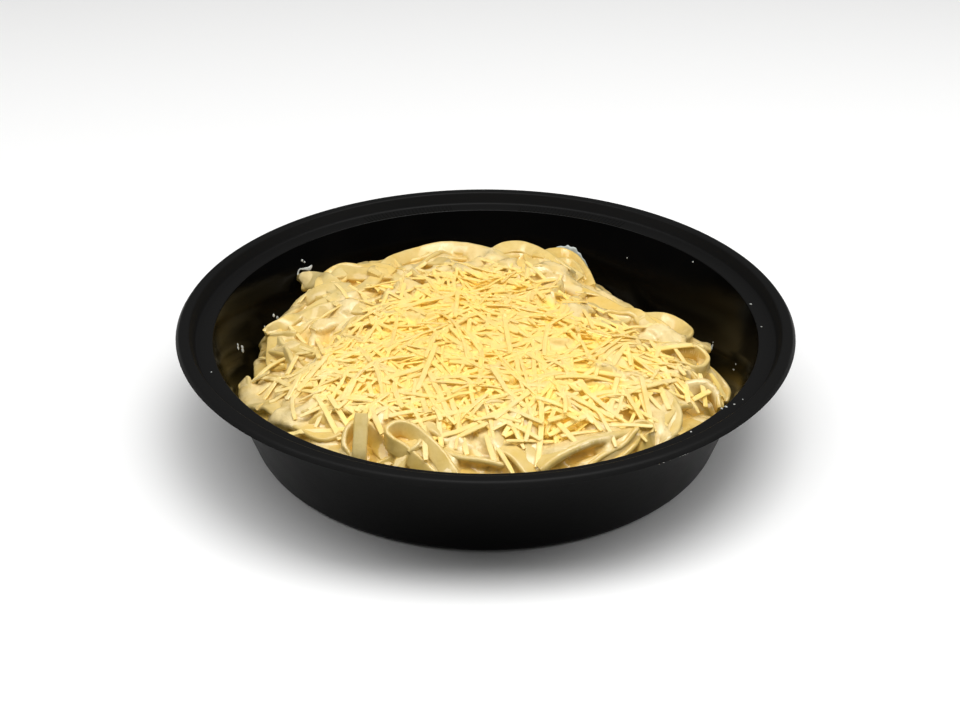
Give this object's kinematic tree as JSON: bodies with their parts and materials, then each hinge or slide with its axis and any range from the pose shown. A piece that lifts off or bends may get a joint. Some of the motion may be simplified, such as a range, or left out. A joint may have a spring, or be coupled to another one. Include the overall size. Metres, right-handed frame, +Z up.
{
  "type": "fettuccine alfredo in a round takeaway bowl",
  "caption": "Round black plastic takeaway bowl filled with a heap of creamy ribbon noodles under a mat of shredded cheese.",
  "frame": {"origin": "middle of the bowl's foot, on the surface it stands on", "axes": "+Z up through the open mouth; -Y is the side nearest the viewer, +X to the right"},
  "size_m": [0.2286, 0.2286, 0.046],
  "materials": {
    "bowl_plastic": "satin black moulded plastic",
    "sauced_pasta": "cooked noodles wet with cream sauce",
    "cheese": "soft dry shreds, slightly waxy"
  },
  "bodies": {
    "root": {"bowl": "bowl_plastic", "pasta": "sauced_pasta", "shredded_cheese": "cheese"}
  },
  "joints": []
}
